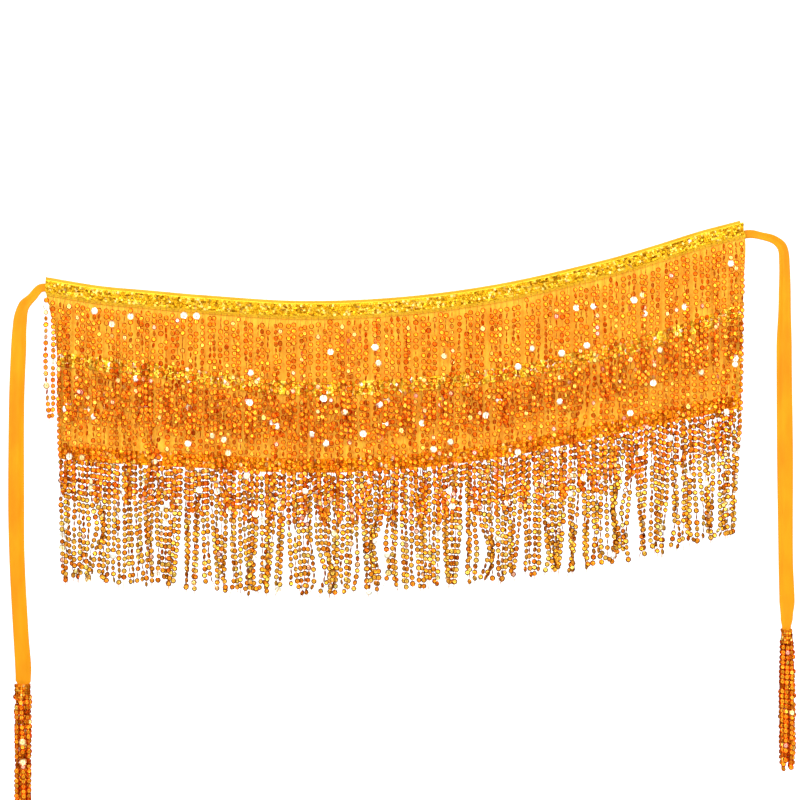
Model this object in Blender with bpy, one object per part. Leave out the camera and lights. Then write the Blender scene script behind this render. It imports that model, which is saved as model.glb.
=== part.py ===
"""A belly dance hip scarf, held up by the two top corners of its waistband.

Metres, +Z up, +X along the waistband, and the front faces -Y. The origin lies in the waistband's left
end, where a hand pinches it.

Every piece that is sewn to the cloth is first laid out flat in pattern space, as (across, height, out):
across runs along the waistband, height is measured from its top edge and is negative below it, and out is
the distance in front of the cloth's middle. drape() then hangs each of its points on the scarf.
"""

import math
import random
from collections import namedtuple

import bmesh
import bpy
from mathutils import Vector

# Cloth, casing and trim walls
CLOTH = 0.0012
CASING = 0.0010
TRIM = 0.0015
TIE = 0.0016
SEAM = 0.00035
LAYER_GAP = 0.0005

# The waistband, the cloth tucked into it and the fringe trim on it, as heights and drops
WAISTBAND_HEIGHT = 0.024
CLOTH_TOP = 0.0022
TRIM_HEIGHT = 0.018
TOP_TRIM = 0.0035
HEM = 0.228

# Fringe
STRANDS_A_ROW = 78
STRAND_WIDTH = 0.0055
STRAND_DEPTH = 0.0014
STRAND_LENGTH = 0.159
LENGTH_SPREAD = 0.004
WANDER = 0.0009
PARTING = 0.017
TIP_WIDTH = 0.72
STRAND_SHARES = (0.26, 0.62, 1.0)

# Tassels: the same trim, rolled round the end of a tie. Breadth widens the roll along X, and flare is how
# far its strands open out
TASSEL_STRANDS = 8
TASSEL_STRAND_WIDTH = 0.0042
ROLL_RADIUS = 0.0040
ROLL_PITCH = 0.0021
ROLL_LENGTH = 0.058
Roll = namedtuple("Roll", "breadth flare")
LEFT_ROLL = Roll(1.15, 0.08)
RIGHT_ROLL = Roll(0.88, 0.30)
FLARE_TURN = math.radians(145)
TIE_TUCK = 0.012

# How the scarf hangs
BOW = 0.030
FOLD_START = WAISTBAND_HEIGHT
PROBE = 0.0005

# Along the waistband: its top edge's height, and how far below it the middle trim and the hem hang
Station = namedtuple("Station", "across rise middle hem")
STATIONS = (
    Station(-0.005, 0.0159, 0.0960, 0.2340),
    Station(0.067, 0.0038, 0.0925, 0.2290),
    Station(0.132, -0.0024, 0.0930, 0.2260),
    Station(0.198, -0.0085, 0.0970, 0.2232),
    Station(0.327, -0.0166, 0.1040, 0.2208),
    Station(0.455, -0.0118, 0.1045, 0.2210),
    Station(0.583, 0.0054, 0.1075, 0.2235),
    Station(0.713, 0.0352, 0.1105, 0.2275),
    Station(0.778, 0.0540, 0.1130, 0.2325),
    Station(0.844, 0.0750, 0.1125, 0.2400),
    Station(0.896, 0.0890, 0.1080, 0.2435),
)

SidePoint = namedtuple("SidePoint", "drop left right")
SIDES = (
    SidePoint(0.000, -0.005, 0.896),
    SidePoint(0.024, -0.004, 0.904),
    SidePoint(0.075, 0.008, 0.902),
    SidePoint(0.228, 0.013, 0.897),
)

# Soft folds that open below the waistband: a ridge swells forward, a trough back
Fold = namedtuple("Fold", "across spread swell")
FOLDS = (
    Fold(0.040, 0.022, 0.0033),
    Fold(0.094, 0.020, -0.0045),
    Fold(0.146, 0.024, 0.0039),
    Fold(0.204, 0.020, -0.0048),
    Fold(0.262, 0.023, 0.0045),
    Fold(0.318, 0.020, -0.0051),
    Fold(0.386, 0.028, 0.0039),
    Fold(0.448, 0.022, -0.0045),
    Fold(0.498, 0.022, 0.0036),
    Fold(0.552, 0.024, -0.0033),
    Fold(0.592, 0.020, 0.0036),
    Fold(0.630, 0.019, -0.0045),
    Fold(0.661, 0.018, 0.0030),
    Fold(0.690, 0.018, -0.0042),
    Fold(0.722, 0.019, 0.0039),
    Fold(0.752, 0.018, -0.0042),
    Fold(0.780, 0.018, 0.0036),
    Fold(0.808, 0.018, -0.0042),
    Fold(0.852, 0.022, 0.0039),
)

# The ties' middle lines. A seam lies behind the waistband, from inside its end to just past it, and is
# draped. The rest hangs free
TieSeam = namedtuple("TieSeam", "inside past height width")
LEFT_SEAM = TieSeam(0.016, -0.012, -0.015, 0.011)
RIGHT_SEAM = TieSeam(0.882, 0.911, -0.019, 0.011)
TiePoint = namedtuple("TiePoint", "across rise forward width")
LEFT_TIE = (
    TiePoint(-0.0235, -0.0110, 0.001, 0.012),
    TiePoint(-0.0335, -0.0225, 0.003, 0.015),
    TiePoint(-0.0375, -0.042, 0.005, 0.018),
    TiePoint(-0.0392, -0.079, 0.006, 0.020),
    TiePoint(-0.0414, -0.144, 0.007, 0.020),
    TiePoint(-0.0423, -0.274, 0.006, 0.021),
    TiePoint(-0.0414, -0.352, 0.005, 0.020),
    TiePoint(-0.0362, -0.448, 0.006, 0.0200),
    TiePoint(-0.0334, -0.490, 0.006, 0.0210),
    TiePoint(-0.0333, -0.503, 0.006, 0.0190),
    TiePoint(-0.0342, -0.511, 0.006, 0.0082),
    TiePoint(-0.0350, -0.524, 0.006, 0.0082),
)
RIGHT_TIE = (
    TiePoint(0.924, 0.0650, 0.001, 0.010),
    TiePoint(0.9405, 0.0625, 0.003, 0.011),
    TiePoint(0.9510, 0.0535, 0.005, 0.013),
    TiePoint(0.9530, 0.035, 0.006, 0.014),
    TiePoint(0.9532, -0.014, 0.007, 0.016),
    TiePoint(0.9525, -0.079, 0.007, 0.020),
    TiePoint(0.9538, -0.209, 0.006, 0.021),
    TiePoint(0.9549, -0.352, 0.006, 0.019),
    TiePoint(0.9568, -0.404, 0.005, 0.0200),
    TiePoint(0.9563, -0.424, 0.006, 0.0120),
    TiePoint(0.9560, -0.439, 0.006, 0.0062),
    TiePoint(0.9560, -0.453, 0.006, 0.0062),
)
TIE_CREASE = 0.0016

# Mesh detail
CLOTH_COLUMNS, CLOTH_ROWS = 90, 6
CASING_COLUMNS, FOLD_STEPS = 38, 4
TIE_STEPS, TIE_COLUMNS = 4, 3

Finish = namedtuple("Finish", "colour roughness metallic")
ORANGE_CLOTH = Finish((1.0, 0.38, 0.03, 1.0), 0.75, 0.0)
TIE_CLOTH = Finish((1.0, 0.43, 0.02, 1.0), 0.70, 0.0)
SEQUINS = Finish((0.95, 0.36, 0.04, 1.0), 0.25, 0.8)


def through(points, key, value, at):
    """The smooth curve of value against key through the rows of a table, read at one place."""
    keys = [getattr(point, key) for point in points]
    values = [getattr(point, value) for point in points]
    last = len(keys) - 1
    at = min(max(at, keys[0]), keys[last])
    step = next(i for i in range(last) if at <= keys[i + 1])

    def slope(i):
        before, after = max(i - 1, 0), min(i + 1, last)
        return (values[after] - values[before]) / (keys[after] - keys[before])

    span = keys[step + 1] - keys[step]
    t = (at - keys[step]) / span
    return (
        values[step] * (1 + 2 * t) * (1 - t) ** 2
        + values[step + 1] * t * t * (3 - 2 * t)
        + span * slope(step) * t * (1 - t) ** 2
        - span * slope(step + 1) * t * t * (1 - t)
    )


def rise_of(across):
    """Height of the waistband's top edge, which runs straight on past its ends."""
    inside = min(max(across, STATIONS[0].across), STATIONS[-1].across)
    end = STATIONS[:2] if across < inside else STATIONS[-2:]
    slope = (end[1].rise - end[0].rise) / (end[1].across - end[0].across)
    return through(STATIONS, "across", "rise", inside) + slope * (across - inside)


def hem_of(across):
    return through(STATIONS, "across", "hem", across)


def middle_trim(across):
    return through(STATIONS, "across", "middle", across)


def bottom_trim(across):
    return hem_of(across) - TRIM_HEIGHT


def top_trim(across):
    return TOP_TRIM


def bell(across, fold):
    return math.exp(-0.5 * ((across - fold.across) / fold.spread) ** 2)


def fold_of(across, drop):
    """How far the folds push the cloth forward."""
    t = min(max((drop - FOLD_START) / (HEM - FOLD_START), 0), 1)
    opened = t * t * (3 - 2 * t)
    return opened * sum(fold.swell * bell(across, fold) for fold in FOLDS)


def surface(across, height):
    """A point of the cloth's middle surface, run on below the hem for the fringe that hangs there."""
    middle = (STATIONS[0].across + STATIONS[-1].across) / 2
    half = STATIONS[-1].across - middle
    bow = BOW * (1 - ((across - middle) / half) ** 2)
    return Vector((across, -bow - fold_of(across, -height), rise_of(across) + height))


def across_at(share, drop):
    """The place at a share of the way from the cloth's left side to its right."""
    left = through(SIDES, "drop", "left", drop)
    right = through(SIDES, "drop", "right", drop)
    return left + share * (right - left)


def drape(across, height, out):
    """A point of pattern space, hung on the scarf."""
    along = surface(across + PROBE, height) - surface(across - PROBE, height)
    upward = surface(across, height + PROBE) - surface(across, height - PROBE)
    return surface(across, height) + out * along.cross(upward).normalized()


def material_of(name, finish):
    material = bpy.data.materials.new(name)
    material.use_nodes = True
    shader = material.node_tree.nodes["Principled BSDF"]
    shader.inputs["Base Color"].default_value = finish.colour
    shader.inputs["Roughness"].default_value = finish.roughness
    shader.inputs["Metallic"].default_value = finish.metallic
    return material


def slab(columns, rows):
    """A closed unit slab: x and y are shares of its width and height, and z is 0 behind and 1 in front."""
    shape = bmesh.new()
    bmesh.ops.create_grid(shape, x_segments=columns, y_segments=rows, size=0.5)
    bmesh.ops.solidify(shape, geom=shape.faces[:], thickness=1.0)
    for vert in shape.verts:
        vert.co = (vert.co.x + 0.5, vert.co.y + 0.5, abs(vert.co.z))
    return shape


def finish_piece(shape, name, finish, collection):
    bmesh.ops.recalc_face_normals(shape, faces=shape.faces[:])
    if shape.calc_volume(signed=True) < 0:
        bmesh.ops.reverse_faces(shape, faces=shape.faces[:])
    mesh = bpy.data.meshes.new(name)
    shape.to_mesh(mesh)
    shape.free()
    mesh.materials.append(material_of(name, finish))
    mesh.shade_smooth()
    mesh.set_sharp_from_angle(angle=math.radians(40))
    piece = bpy.data.objects.new(name, mesh)
    collection.objects.link(piece)
    return piece


def cloth_panel(collection):
    """The sheer cloth itself, from inside the waistband down to the hem."""
    shape = slab(CLOTH_COLUMNS, CLOTH_ROWS)
    for vert in shape.verts:
        share, up, side = vert.co
        across = across_at(share, HEM * (1 - up))
        drop = hem_of(across) + up * (CLOTH_TOP - hem_of(across))
        vert.co = drape(across, -drop, (side - 0.5) * CLOTH)
    return finish_piece(shape, "cloth_panel", ORANGE_CLOTH, collection)


def casing_profile():
    """The folded waistband's section: up the front, over the cloth's top edge and down the back.

    Each row is (height, out, outward height, outward out), on the casing's inner face."""
    inner = CLOTH / 2 + SEAM
    turn = inner + CASING
    arc = [math.pi * step / FOLD_STEPS for step in range(FOLD_STEPS + 1)]
    over = [
        (-turn + inner * math.sin(a), inner * math.cos(a), math.sin(a), math.cos(a)) for a in arc
    ]
    front = (-WAISTBAND_HEIGHT, inner, 0.0, 1.0)
    back = (-WAISTBAND_HEIGHT, -inner, 0.0, -1.0)
    return [front, *over, back]


def waistband(collection):
    profile = casing_profile()
    rows = len(profile) - 1
    shape = slab(CASING_COLUMNS, rows)
    for vert in shape.verts:
        share, along, side = vert.co
        height, out, up, forward = profile[round(along * rows)]
        height += side * CASING * up
        out += side * CASING * forward
        vert.co = drape(across_at(share, -height), height, out)
    return finish_piece(shape, "waistband", TIE_CLOTH, collection)


def header(ends, backing, strands, strand_width):
    """A flat strip of trim with a cell of its own above each strand, and the faces that strands grow from."""
    columns = 2 * strands + 1
    shape = slab(columns, 1)
    pitch = (ends[1] - ends[0]) / strands
    for vert in shape.verts:
        edge = round(vert.co.x * columns)
        strand, side_of_strand = divmod(edge - 1, 2)
        across = ends[0] + (strand + 0.5) * pitch + (side_of_strand - 0.5) * strand_width
        across = ends[0] if edge == 0 else ends[1] if edge == columns else across
        vert.co = (across, TRIM_HEIGHT * (vert.co.y - 1), backing + vert.co.z * TRIM)
    under = [face for face in shape.faces if all(vert.co.y < -TRIM_HEIGHT / 2 for vert in face.verts)]
    under.sort(key=lambda face: face.calc_center_median().x)
    return shape, under[1::2]


def grow_strands(shape, roots, layer, strand_width, drift, seed):
    """Draws each root face down into a strand of four sides that hangs apart from its neighbours."""
    chance = random.Random(seed)
    starts = [face.calc_center_median() for face in roots]
    lengths = [STRAND_LENGTH + chance.uniform(-1, 1) * LENGTH_SPREAD for _ in roots]
    leans = [chance.uniform(-1, 1) * WANDER for _ in roots]
    bends = [chance.uniform(-1, 1) * WANDER for _ in roots]
    faces = roots
    for share in STRAND_SHARES:
        faces = bmesh.ops.extrude_discrete_faces(shape, faces=faces)["faces"]
        faces.sort(key=lambda face: face.calc_center_median().x)
        for face, start, length, lean, bend in zip(faces, starts, lengths, leans, bends):
            middle = face.calc_center_median()
            sideways = share * lean + math.sin(math.pi * share) * bend
            across = start.x + drift(start.x) * share * share + sideways
            half = strand_width / 2 * (1 + (TIP_WIDTH - 1) * share)
            for vert in face.verts:
                vert.co = (
                    across + math.copysign(half, vert.co.x - middle.x),
                    start.y - share * length,
                    layer + math.copysign(STRAND_DEPTH / 2, vert.co.z - middle.z),
                )


def parting(across):
    """Sideways drift at the tips: strands slide off the troughs and gather on the ridges."""
    slopes = (f.swell * (f.across - across) / f.spread**2 * bell(across, f) for f in FOLDS)
    return PARTING * sum(slopes)


def fringe_row(name, top_of, backing, layer, seed, collection):
    """One row of fringe trim: a strip sewn along the cloth, and the sequin strands that hang from it."""
    left, right = (top_of(STATIONS[end].across) + TRIM_HEIGHT / 2 for end in (0, -1))
    ends = across_at(0, left), across_at(1, right)
    shape, roots = header(ends, backing, STRANDS_A_ROW, STRAND_WIDTH)
    grow_strands(shape, roots, layer, STRAND_WIDTH, parting, seed)
    for vert in shape.verts:
        across, height, out = vert.co
        vert.co = drape(across, height - top_of(across), out)
    return finish_piece(shape, name, SEQUINS, collection)


def wind(across, height, out, roll):
    """A point of a strip wound in a spiral round the Z axis, its strands opening out as they hang."""
    growth = ROLL_PITCH / (2 * math.pi)
    angle = (math.sqrt(ROLL_RADIUS**2 + 2 * growth * across) - ROLL_RADIUS) / growth
    hanging = min(max(-height - TRIM_HEIGHT, 0) / STRAND_LENGTH, 1)
    radius = (ROLL_RADIUS + growth * angle + out) * (1 + roll.flare * math.sin(FLARE_TURN * hanging))
    return Vector((roll.breadth * radius * math.sin(angle), -radius * math.cos(angle), height))


def tassel(name, tie, roll, seed, collection):
    """A short length of the fringe trim rolled round the gathered end of a tie."""
    shape, roots = header((0, ROLL_LENGTH), 0, TASSEL_STRANDS, TASSEL_STRAND_WIDTH)
    grow_strands(shape, roots, TRIM / 2, TASSEL_STRAND_WIDTH, lambda across: 0, seed)
    end = tie[-1]
    top = Vector((end.across, -end.forward, end.rise + TIE_TUCK))
    for vert in shape.verts:
        vert.co = top + wind(*vert.co, roll)
    return finish_piece(shape, name, SEQUINS, collection)


def tie_line(seam, hanging):
    """The tie's middle line as (point, width): sewn behind the waistband, then free."""
    behind = -(CLOTH / 2 + SEAM + CASING + SEAM + TIE / 2)
    sewn = [(drape(across, seam.height, behind), seam.width) for across in (seam.inside, seam.past)]
    free = [(Vector((p.across, -p.forward, p.rise)), p.width) for p in hanging]
    return sewn + free


def on_line(line, place):
    """Point, direction and width on a smooth curve through the line, which is at its points at 0, 1, 2..."""
    gaps = [(b[0] - a[0]).length for a, b in zip(line, line[1:])]
    step = min(int(place), len(gaps) - 1)
    t = place - step

    def slope(i):
        before, after = max(i - 1, 0), min(i + 1, len(line) - 1)
        return (line[after][0] - line[before][0]) / sum(gaps[before:after]) * gaps[step]

    start, end = line[step][0], line[step + 1][0]
    point = (
        start * (1 + 2 * t) * (1 - t) ** 2
        + end * t * t * (3 - 2 * t)
        + slope(step) * t * (1 - t) ** 2
        - slope(step + 1) * t * t * (1 - t)
    )
    direction = (
        (end - start) * 6 * t * (1 - t)
        + slope(step) * (1 - t) * (1 - 3 * t)
        - slope(step + 1) * t * (2 - 3 * t)
    ).normalized()
    width = line[step][1] + (line[step + 1][1] - line[step][1]) * t * t * (3 - 2 * t)
    return point, direction, width


def tie(name, seam, hanging, collection):
    """A long narrow ribbon of doubled cloth with a soft crease down its length."""
    line = tie_line(seam, hanging)
    front = Vector((0, -1, 0))
    shape = slab(TIE_COLUMNS, TIE_STEPS * (len(line) - 1))
    for vert in shape.verts:
        share, along, side = vert.co
        point, direction, width = on_line(line, along * (len(line) - 1))
        sideways = direction.cross(front).normalized()
        outward = sideways.cross(direction)
        crease = TIE_CREASE * math.sin(math.pi * along) ** 2 * math.cos(2 * math.pi * (share - 0.5))
        vert.co = point + sideways * (share - 0.5) * width + outward * ((side - 0.5) * TIE - crease)
    return finish_piece(shape, name, TIE_CLOTH, collection)


def main():
    for piece in list(bpy.data.objects):
        bpy.data.objects.remove(piece)
    scarf = bpy.data.collections.new("hip_scarf")
    bpy.context.scene.collection.children.link(scarf)

    cloth_panel(scarf)
    waistband(scarf)

    on_cloth = CLOTH / 2 + SEAM
    on_casing = on_cloth + CASING + SEAM
    bottom_layer = on_cloth + TRIM / 2
    middle_layer = on_cloth + TRIM + LAYER_GAP + STRAND_DEPTH / 2
    top_layer = middle_layer + STRAND_DEPTH + LAYER_GAP
    fringe_row("fringe_top", top_trim, on_casing, top_layer, 11, scarf)
    fringe_row("fringe_middle", middle_trim, on_cloth, middle_layer, 12, scarf)
    fringe_row("fringe_bottom", bottom_trim, on_cloth, bottom_layer, 13, scarf)

    tie("tie_left", LEFT_SEAM, LEFT_TIE, scarf)
    tie("tie_right", RIGHT_SEAM, RIGHT_TIE, scarf)
    tassel("tassel_left", LEFT_TIE, LEFT_ROLL, 14, scarf)
    tassel("tassel_right", RIGHT_TIE, RIGHT_ROLL, 15, scarf)


main()
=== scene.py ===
import math

import bmesh
import bpy
import numpy as np
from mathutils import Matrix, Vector


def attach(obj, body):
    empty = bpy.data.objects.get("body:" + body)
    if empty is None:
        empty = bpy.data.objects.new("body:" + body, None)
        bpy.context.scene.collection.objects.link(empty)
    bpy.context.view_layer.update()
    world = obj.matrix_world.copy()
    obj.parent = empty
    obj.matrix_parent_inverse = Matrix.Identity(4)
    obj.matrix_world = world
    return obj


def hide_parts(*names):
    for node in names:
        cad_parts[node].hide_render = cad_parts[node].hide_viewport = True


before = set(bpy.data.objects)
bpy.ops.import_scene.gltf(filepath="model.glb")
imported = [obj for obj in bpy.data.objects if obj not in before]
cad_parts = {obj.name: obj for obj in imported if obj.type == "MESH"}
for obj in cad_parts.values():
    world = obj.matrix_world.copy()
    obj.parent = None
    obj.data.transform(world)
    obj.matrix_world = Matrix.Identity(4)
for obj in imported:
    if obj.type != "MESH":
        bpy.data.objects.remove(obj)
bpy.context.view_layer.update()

# How the scarf hangs, in metres, as its solids do: across runs along the waistband,
# and drops are measured down from its top edge
hang = {
    "stations": [  # across, rise of the top edge, drop of the middle trim, drop of the hem
        (-0.005, 0.0159, 0.0960, 0.2340),
        (0.067, 0.0038, 0.0925, 0.2290),
        (0.132, -0.0024, 0.0930, 0.2260),
        (0.198, -0.0085, 0.0970, 0.2232),
        (0.327, -0.0166, 0.1040, 0.2208),
        (0.455, -0.0118, 0.1045, 0.2210),
        (0.583, 0.0054, 0.1075, 0.2235),
        (0.713, 0.0352, 0.1105, 0.2275),
        (0.778, 0.0540, 0.1130, 0.2325),
        (0.844, 0.0750, 0.1125, 0.2400),
        (0.896, 0.0890, 0.1080, 0.2435),
    ],
    "sides": [  # drop, left side, right side
        (0.000, -0.005, 0.896),
        (0.024, -0.004, 0.904),
        (0.075, 0.008, 0.902),
        (0.228, 0.013, 0.897),
    ],
    "folds": [  # across, spread, swell: a ridge swells forward, a trough back
        (0.040, 0.022, 0.0033), (0.094, 0.020, -0.0045), (0.146, 0.024, 0.0039),
        (0.204, 0.020, -0.0048), (0.262, 0.023, 0.0045), (0.318, 0.020, -0.0051),
        (0.386, 0.028, 0.0039), (0.448, 0.022, -0.0045), (0.498, 0.022, 0.0036),
        (0.552, 0.024, -0.0033), (0.592, 0.020, 0.0036), (0.630, 0.019, -0.0045),
        (0.661, 0.018, 0.0030), (0.690, 0.018, -0.0042), (0.722, 0.019, 0.0039),
        (0.752, 0.018, -0.0042), (0.780, 0.018, 0.0036), (0.808, 0.018, -0.0042),
        (0.852, 0.022, 0.0039),
    ],
    "creases": [  # across, lean, first drop, last drop, half width, depth: small ones within the folds
        (0.018, 0.010, 0.024, 0.150, 0.0035, -0.0011), (0.031, 0.004, 0.020, 0.230, 0.0045, 0.0010),
        (0.052, 0.012, 0.030, 0.190, 0.0030, -0.0012), (0.071, -0.004, 0.024, 0.120, 0.0040, 0.0009),
        (0.083, 0.006, 0.050, 0.240, 0.0050, -0.0013), (0.109, 0.003, 0.022, 0.170, 0.0032, 0.0011),
        (0.121, -0.006, 0.026, 0.100, 0.0028, -0.0010), (0.139, 0.002, 0.040, 0.240, 0.0048, 0.0012),
        (0.160, -0.005, 0.020, 0.210, 0.0036, -0.0014), (0.178, 0.004, 0.024, 0.130, 0.0030, 0.0010),
        (0.193, -0.003, 0.030, 0.240, 0.0044, 0.0009), (0.216, 0.005, 0.022, 0.180, 0.0034, -0.0012),
        (0.231, 0.000, 0.060, 0.240, 0.0052, 0.0011), (0.247, -0.006, 0.024, 0.110, 0.0030, -0.0010),
        (0.275, 0.004, 0.020, 0.200, 0.0038, -0.0013), (0.291, -0.002, 0.030, 0.140, 0.0030, 0.0010),
        (0.305, 0.003, 0.026, 0.240, 0.0046, 0.0011), (0.333, -0.004, 0.024, 0.160, 0.0034, -0.0012),
        (0.349, 0.002, 0.050, 0.240, 0.0050, 0.0012), (0.366, -0.003, 0.022, 0.120, 0.0030, -0.0010),
        (0.402, 0.004, 0.024, 0.220, 0.0042, -0.0011), (0.419, 0.000, 0.030, 0.150, 0.0032, 0.0010),
        (0.434, -0.004, 0.022, 0.240, 0.0048, 0.0010), (0.463, 0.003, 0.026, 0.130, 0.0030, -0.0012),
        (0.478, 0.004, 0.020, 0.230, 0.0044, 0.0011), (0.512, -0.003, 0.024, 0.170, 0.0034, -0.0013),
        (0.527, 0.002, 0.040, 0.240, 0.0050, 0.0010), (0.541, 0.005, 0.022, 0.110, 0.0030, -0.0010),
        (0.566, -0.004, 0.024, 0.210, 0.0038, 0.0012), (0.579, 0.003, 0.030, 0.240, 0.0044, -0.0011),
        (0.604, 0.000, 0.022, 0.150, 0.0030, -0.0010), (0.617, -0.003, 0.026, 0.240, 0.0042, 0.0011),
        (0.643, 0.004, 0.024, 0.180, 0.0032, -0.0011), (0.674, -0.002, 0.030, 0.230, 0.0036, 0.0010),
        (0.703, 0.003, 0.022, 0.160, 0.0030, -0.0012), (0.735, -0.004, 0.024, 0.240, 0.0038, 0.0010),
        (0.766, 0.002, 0.028, 0.190, 0.0030, -0.0011), (0.794, -0.003, 0.022, 0.230, 0.0034, 0.0010),
        (0.821, 0.004, 0.024, 0.150, 0.0032, -0.0012), (0.838, -0.002, 0.030, 0.240, 0.0044, 0.0011),
        (0.867, -0.006, 0.022, 0.200, 0.0034, -0.0011), (0.882, -0.004, 0.026, 0.140, 0.0030, 0.0010),
    ],
    "bow": 0.030,
    "foldStart": 0.024,
    "foldsOpen": 0.228,
    "creaseFade": 0.022,
    "ends": (-0.005, 0.896),
}


def through(rows, column, at):
    # the smooth curve of one column against the first, read at many places
    table = np.array(rows)
    keys, values = table[:, 0], table[:, column]
    at = np.clip(at, keys[0], keys[-1])
    step = np.clip(np.searchsorted(keys, at, side="left") - 1, 0, len(keys) - 2)
    here = np.arange(len(keys))
    before, after = np.maximum(here - 1, 0), np.minimum(here + 1, len(keys) - 1)
    slopes = (values[after] - values[before]) / (keys[after] - keys[before])
    span = keys[step + 1] - keys[step]
    t = (at - keys[step]) / span
    start = values[step] * (1 + 2 * t) * (1 - t) ** 2 + span * slopes[step] * t * (1 - t) ** 2
    return start + values[step + 1] * t * t * (3 - 2 * t) - span * slopes[step + 1] * t * t * (1 - t)


def easedStep(low, high, at):
    t = np.clip((at - low) / (high - low), 0, 1)
    return t * t * (3 - 2 * t)


def riseOf(across):
    rows = hang["stations"]
    inside = np.clip(across, rows[0][0], rows[-1][0])
    slopes = [(b[1] - a[1]) / (b[0] - a[0]) for a, b in ((rows[0], rows[1]), (rows[-2], rows[-1]))]
    return through(rows, 1, inside) + np.where(across < inside, slopes[0], slopes[1]) * (across - inside)


def middleTrimOf(across):
    return through(hang["stations"], 2, across)


def hemOf(across):
    return through(hang["stations"], 3, across)


def sideOf(share, drop):
    left, right = through(hang["sides"], 1, drop), through(hang["sides"], 2, drop)
    return left + share * (right - left)


def foldsAt(across, drop):
    opened = easedStep(hang["foldStart"], hang["foldsOpen"], drop)
    swell = sum(row[2] * np.exp(-0.5 * ((across - row[0]) / row[1]) ** 2) for row in hang["folds"])
    return opened * swell


def creasesAt(across, drop):
    total = 0
    for at, lean, first, last, half, depth in hang["creases"]:
        along = np.clip((drop - first) / (last - first), 0, 1)
        centre = at + lean * along
        fade = easedStep(first - hang["creaseFade"], first + hang["creaseFade"], drop)
        fade = fade * (1 - easedStep(last - hang["creaseFade"], last + hang["creaseFade"], drop))
        total = total + depth * fade * np.exp(-0.5 * ((across - centre) / half) ** 2)
    return total


def clothAt(across, height):
    # the cloth's middle surface, run on below the hem for the fringe that hangs there
    across, height = np.broadcast_arrays(np.asarray(across, float), np.asarray(height, float))
    middle = sum(hang["ends"]) / 2
    half = hang["ends"][1] - middle
    bow = hang["bow"] * (1 - ((across - middle) / half) ** 2)
    forward = bow + foldsAt(across, -height) + creasesAt(across, -height)
    return np.stack([across, -forward, riseOf(across) + height], axis=-1)


def outward(across, height):
    probe = 0.0006
    along = clothAt(across + probe, height) - clothAt(across - probe, height)
    upward = clothAt(across, height + probe) - clothAt(across, height - probe)
    normal = np.cross(along, upward)
    return normal / np.linalg.norm(normal, axis=-1, keepdims=True)


def drape(across, height, out):
    # a point of the flat pattern, hung on the scarf
    out = np.asarray(out, float)[..., None]
    return clothAt(across, height) + out * outward(across, height)


layers = {
    "cloth": 0.0008,  # how thick each wall is
    "casing": 0.0010,
    "tape": 0.0008,
    "tie": 0.0016,
    "seam": 0.00035,  # the room between the waistband's back and a tie
    "hem": -0.0009,  # how far out from the middle of the cloth each layer lies
    "onCloth": 0.00095,
    "onCasing": 0.00230,
}


def intoScene(name, data):
    thing = bpy.data.objects.new(name, data)
    bpy.context.scene.collection.objects.link(thing)
    return thing


def makeObject(name, points, faces, materials, smooth=True):
    mesh = bpy.data.meshes.new(name)
    mesh.from_pydata([tuple(point) for point in points], [], faces)
    mesh.update()
    shape = bmesh.new()
    shape.from_mesh(mesh)
    bmesh.ops.recalc_face_normals(shape, faces=shape.faces[:])
    if shape.calc_volume(signed=True) < 0:
        bmesh.ops.reverse_faces(shape, faces=shape.faces[:])
    shape.to_mesh(mesh)
    shape.free()
    for material in materials:
        mesh.materials.append(material)
    if smooth:
        mesh.shade_smooth()
    return intoScene(name, mesh)


def mapCut(piece, pattern):
    # where each point lies on the flat cut, for the weave to follow: a back wall repeats its front
    corners = np.empty(len(piece.data.loops), np.int32)
    piece.data.loops.foreach_get("vertex_index", corners)
    flat = piece.data.uv_layers.new(name="cut")
    flat.data.foreach_set("uv", pattern[corners % len(pattern)].ravel())


def shellFaces(columns, rows):
    # quads of a closed sheet: the front grid's points come first, then the back grid's
    across, up = columns + 1, rows + 1
    back = across * up
    front = [(r * across + c, r * across + c + 1, (r + 1) * across + c + 1, (r + 1) * across + c)
             for r in range(rows) for c in range(columns)]
    faces = front + [tuple(back + i for i in reversed(face)) for face in front]
    rim = list(range(across)) + [r * across + columns for r in range(1, up)]
    rim += [rows * across + c for c in range(columns - 1, -1, -1)]
    rim += [r * across for r in range(rows - 1, 0, -1)]
    for a, b in zip(rim, rim[1:] + rim[:1]):
        faces.append((b, a, back + a, back + b))
    return faces


def sheetPiece(name, columns, rows, place, thickness, materials):
    # place(share across, share up) gives the pattern's across, height and out of the sheet's middle
    share, up = np.meshgrid(np.linspace(0, 1, columns + 1), np.linspace(0, 1, rows + 1))
    across, height, out = place(share.ravel(), up.ravel())
    front = drape(across, height, out + thickness / 2)
    back = drape(across, height, out - thickness / 2)
    piece = makeObject(name, np.vstack([front, back]), shellFaces(columns, rows), materials)
    mapCut(piece, np.stack([across, height], axis=-1))
    return piece


def put(tree, kind, inputs=None, **settings):
    # adds a node, sets it, and fills its inputs with values or with other nodes' outputs
    node = tree.nodes.new(kind)
    for key, value in settings.items():
        setattr(node, key, value)
    for key, value in (inputs or {}).items():
        if isinstance(value, bpy.types.NodeSocket):
            tree.links.new(value, node.inputs[key])
        else:
            node.inputs[key].default_value = value
    return node


def mathNode(tree, operation, first, second):
    return put(tree, "ShaderNodeMath", {0: first, 1: second}, operation=operation).outputs[0]


def rescaled(tree, value, fromLow, fromHigh, toLow, toHigh):
    inputs = {"Value": value, 1: fromLow, 2: fromHigh, 3: toLow, 4: toHigh}
    return put(tree, "ShaderNodeMapRange", inputs).outputs[0]


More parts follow.
